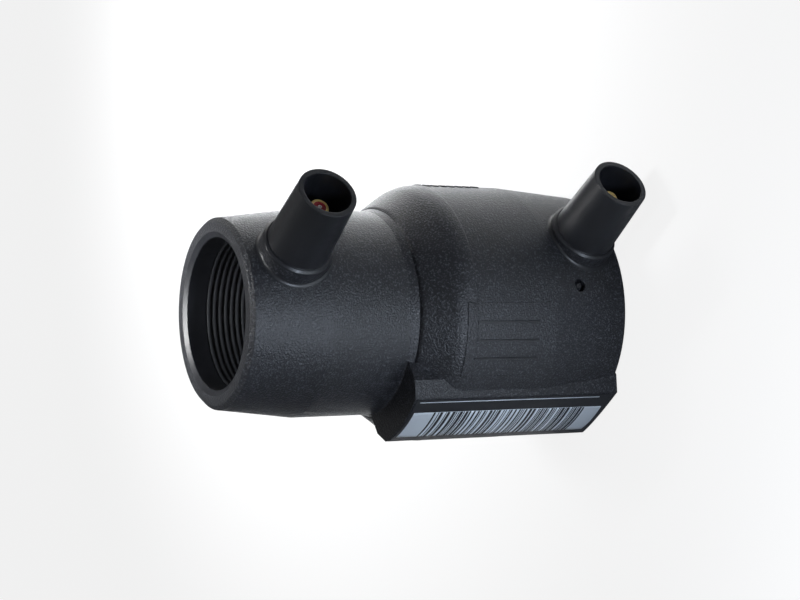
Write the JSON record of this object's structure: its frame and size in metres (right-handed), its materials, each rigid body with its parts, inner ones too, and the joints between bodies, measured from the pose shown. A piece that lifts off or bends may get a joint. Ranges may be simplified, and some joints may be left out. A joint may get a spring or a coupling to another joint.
{
  "type": "electrofusion reducer",
  "caption": "Black moulded reducing coupler with ridged sockets, shrouded terminals and a label pad, for fusing a wide plastic pipe to a narrow one.",
  "frame": {"origin": "centre of the large end's face, on the bore axis; the reducer stands on that face", "axes": "+Z along the bore from the large end to the small end, -Y the way the terminal shrouds point, -X the side with the label pad"},
  "size_m": [0.0588, 0.076, 0.0888],
  "materials": {
    "black_pe": "fine spark-eroded texture, satin",
    "winding_pe": "smooth moulded ridges",
    "brass": "turned, slightly dull",
    "red_insulator": "smooth",
    "tinned_pin": "tinned",
    "resistor": "lacquered",
    "label_foil": "printed foil with pale fields"
  },
  "bodies": {
    "root": {"reducer_body": "black_pe", "heating_wire": "winding_pe", "small_terminal_sleeve": "brass", "terminal_insulator": "red_insulator", "terminal_centre_pin": "tinned_pin", "identification_resistor": "resistor", "large_terminal_pin": "brass", "fusion_indicator": "black_pe", "label": "label_foil"}
  },
  "joints": []
}
